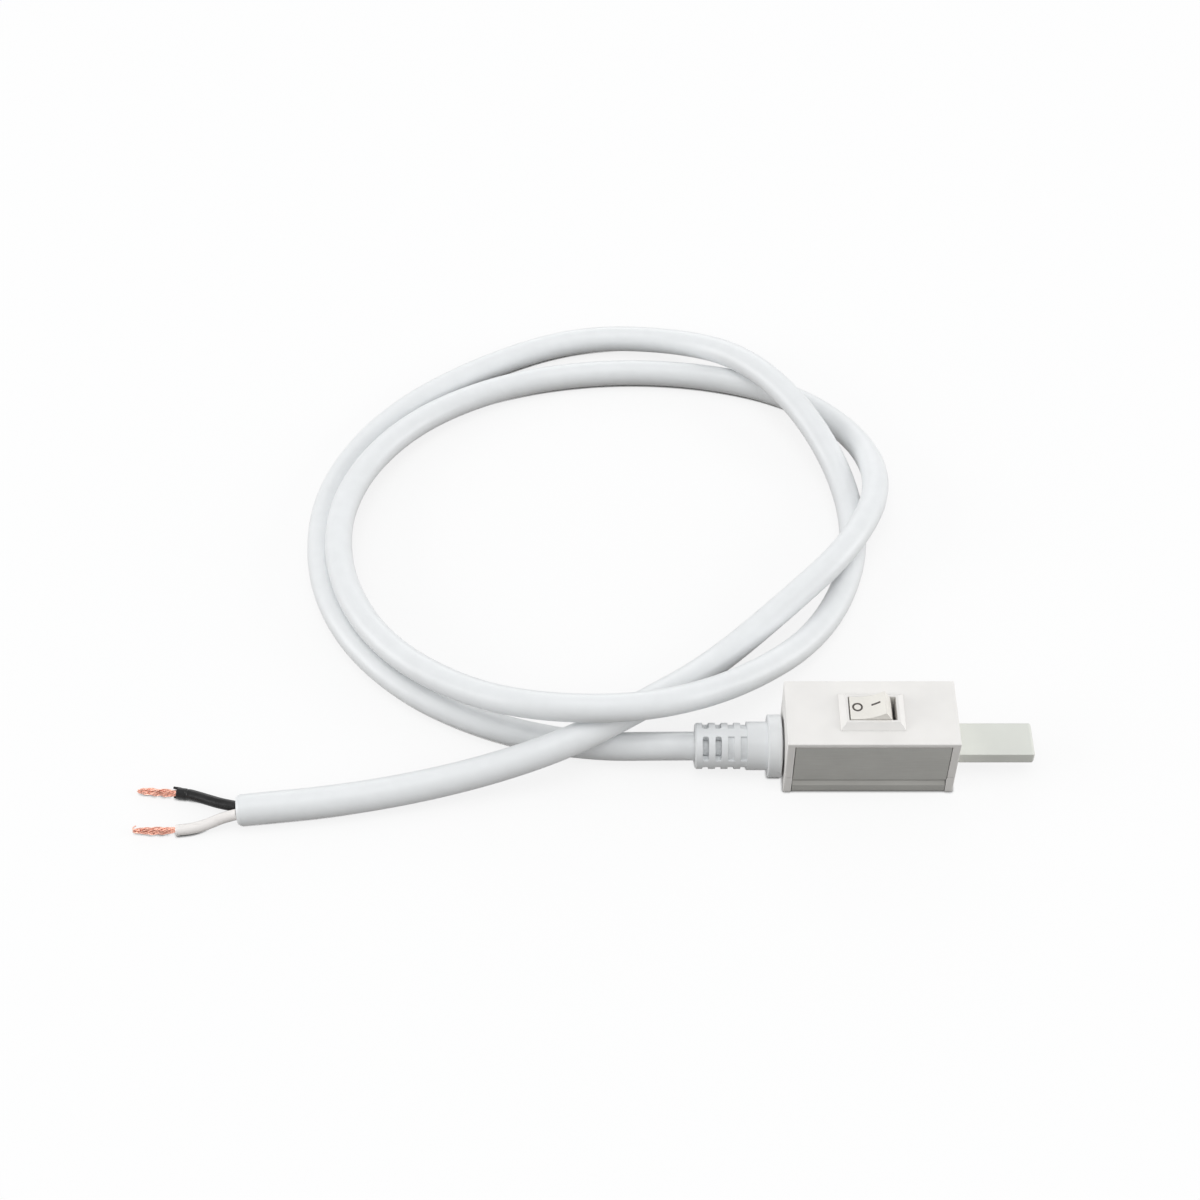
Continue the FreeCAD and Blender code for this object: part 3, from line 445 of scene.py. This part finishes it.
def make_mark(name, pairs, closed):
    """Thin printed strip on the dish, between pairs of points on its two sides."""
    corners = []
    for first, second in pairs:
        for x, y in (first, second):
            corners.append(on_dish(x, y, INK_BELOW))
            corners.append(on_dish(x, y, INK_ABOVE))
    faces = []
    count = len(pairs)
    for step in range(count if closed else count - 1):
        a = 4 * step
        b = 4 * ((step + 1) % count)
        faces.append((a + 1, b + 1, b + 3, a + 3))
        faces.append((a, a + 2, b + 2, b))
        faces.append((a, b, b + 1, a + 1))
        faces.append((a + 2, a + 3, b + 3, b + 2))
    if not closed:
        last = 4 * (count - 1)
        faces.append((0, 1, 3, 2))
        faces.append((last, last + 2, last + 3, last + 1))
    mesh = bpy.data.meshes.new(name)
    mesh.from_pydata(corners, [], faces)
    shape = bmesh.new()
    shape.from_mesh(mesh)
    bmesh.ops.recalc_face_normals(shape, faces=shape.faces)
    shape.to_mesh(mesh)
    shape.free()
    piece = bpy.data.objects.new(name, mesh)
    bpy.context.collection.objects.link(piece)
    paint(piece, print_ink)
    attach(piece, "rocker")
    return piece


def ring_point(radius, step):
    """A point of the ring, across and along the rocker."""
    angle = 2 * math.pi * step / RING_STEPS
    return (RING_X + radius * math.cos(angle), RING_Y + radius * math.sin(angle))


def bar_point(side, step):
    """A point on one side of the slanted bar."""
    x = BAR_START + BAR_LENGTH * step / BAR_STEPS
    return (x, side + BAR_SLANT * x)


ring = [(ring_point(RING_OUTER, step), ring_point(RING_INNER, step)) for step in range(RING_STEPS)]
make_mark("off_mark", ring, closed=True)
bar = [(bar_point(BAR_SIDES[0], step), bar_point(BAR_SIDES[1], step)) for step in range(BAR_STEPS + 1)]
make_mark("on_mark", bar, closed=False)


def make_floor():
    """Plain white floor that keeps the shadows, with a painted contact shadow: a dark line where a piece
    touches it.
    """
    mesh = bpy.data.meshes.new("floor")
    half = FLOOR_HALF
    mesh.from_pydata(
        [(-half, -half, 0), (half, -half, 0), (half, half, 0), (-half, half, 0)], [], [(0, 1, 2, 3)])
    floor = bpy.data.objects.new("floor", mesh)
    floor.location.z = -FLOOR_DROP
    bpy.context.collection.objects.link(floor)
    material = bpy.data.materials.new("floor_white")
    material.use_nodes = True
    tree = material.node_tree
    tree.nodes.clear()
    bounce = tree.nodes.new("ShaderNodeBsdfDiffuse")
    bounce.inputs["Color"].default_value = (0.16, 0.145, 0.13, 1)
    paper = tree.nodes.new("ShaderNodeBsdfDiffuse")
    paper.inputs["Color"].default_value = (0.9, 0.9, 0.9, 1)
    glow = tree.nodes.new("ShaderNodeEmission")
    glow.inputs["Strength"].default_value = 1.02
    # Painted contact shadow: ambient occlusion dims the floor's glow next to pieces that touch it.
    painted_contact_shadow = tree.nodes.new("ShaderNodeAmbientOcclusion")
    painted_contact_shadow.samples = 4
    painted_contact_shadow.inputs["Distance"].default_value = 0.0007
    shade = tree.nodes.new("ShaderNodeMapRange")
    shade.inputs["From Min"].default_value = 0.5
    shade.inputs["From Max"].default_value = 0.9
    tree.links.new(painted_contact_shadow.outputs["AO"], shade.inputs["Value"])
    tree.links.new(shade.outputs["Result"], glow.inputs["Color"])
    path = tree.nodes.new("ShaderNodeLightPath")
    share = tree.nodes.new("ShaderNodeMapRange")
    share.inputs["To Min"].default_value = 0.3
    share.inputs["To Max"].default_value = 0.8
    tree.links.new(path.outputs["Is Camera Ray"], share.inputs["Value"])
    white = tree.nodes.new("ShaderNodeMixShader")
    tree.links.new(share.outputs["Result"], white.inputs["Fac"])
    tree.links.new(paper.outputs["BSDF"], white.inputs[1])
    tree.links.new(glow.outputs["Emission"], white.inputs[2])
    mix = tree.nodes.new("ShaderNodeMixShader")
    tree.links.new(seen_rays(tree), mix.inputs["Fac"])
    tree.links.new(bounce.outputs["BSDF"], mix.inputs[1])
    tree.links.new(white.outputs["Shader"], mix.inputs[2])
    output = tree.nodes.new("ShaderNodeOutputMaterial")
    tree.links.new(mix.outputs["Shader"], output.inputs["Surface"])
    mesh.materials.append(material)


def seen_rays(tree):
    """One where a camera, glossy or transmission ray asks, nought elsewhere."""
    path = tree.nodes.new("ShaderNodeLightPath")
    first = tree.nodes.new("ShaderNodeMath")
    first.operation = "MAXIMUM"
    tree.links.new(path.outputs["Is Camera Ray"], first.inputs[0])
    tree.links.new(path.outputs["Is Glossy Ray"], first.inputs[1])
    both = tree.nodes.new("ShaderNodeMath")
    both.operation = "MAXIMUM"
    tree.links.new(first.outputs["Value"], both.inputs[0])
    tree.links.new(path.outputs["Is Transmission Ray"], both.inputs[1])
    return both.outputs["Value"]


def make_world():
    """White all round for the camera, and a weak fill for the object."""
    world = bpy.data.worlds.new("studio")
    bpy.context.scene.world = world
    world.use_nodes = True
    tree = world.node_tree
    tree.nodes.clear()
    fill = tree.nodes.new("ShaderNodeBackground")
    fill.inputs["Color"].default_value = (0.98, 0.99, 1.0, 1)
    fill.inputs["Strength"].default_value = 0.55
    white = tree.nodes.new("ShaderNodeBackground")
    white.inputs["Color"].default_value = (1, 1, 1, 1)
    mix = tree.nodes.new("ShaderNodeMixShader")
    tree.links.new(seen_rays(tree), mix.inputs["Fac"])
    tree.links.new(fill.outputs["Background"], mix.inputs[1])
    tree.links.new(white.outputs["Background"], mix.inputs[2])
    output = tree.nodes.new("ShaderNodeOutputWorld")
    tree.links.new(mix.outputs["Shader"], output.inputs["Surface"])


def add_softbox(name, place, power):
    """Square soft lamp that looks at the object."""
    lamp = bpy.data.lights.new(name, "AREA")
    lamp.shape = "SQUARE"
    lamp.size = LAMP_SIZE
    lamp.energy = power
    box = bpy.data.objects.new(name, lamp)
    box.location = place
    box.rotation_euler = (Vector(LAMP_TARGET) - Vector(place)).to_track_quat("-Z", "Y").to_euler()
    bpy.context.collection.objects.link(box)


make_floor()
make_world()
add_softbox("left_softbox", (-1.96, -0.17, 0.6), 16)
add_softbox("right_softbox", (1.84, -0.17, 0.6), 16)
add_softbox("back_softbox", (-0.06, 1.93, 0.6), 6)
add_softbox("top_softbox", (-0.06, -0.17, 2.0), 7.5)

eye = bpy.data.cameras.new("camera")
eye.sensor_width = 36
eye.lens = CAMERA_LENS
eye.clip_start = 0.01
camera = bpy.data.objects.new("camera", eye)
camera.location = CAMERA_PLACE
camera.rotation_euler = (math.radians(CAMERA_TILT), 0, 0)
bpy.context.collection.objects.link(camera)
bpy.context.scene.camera = camera
bpy.context.scene.view_settings.view_transform = "Standard"
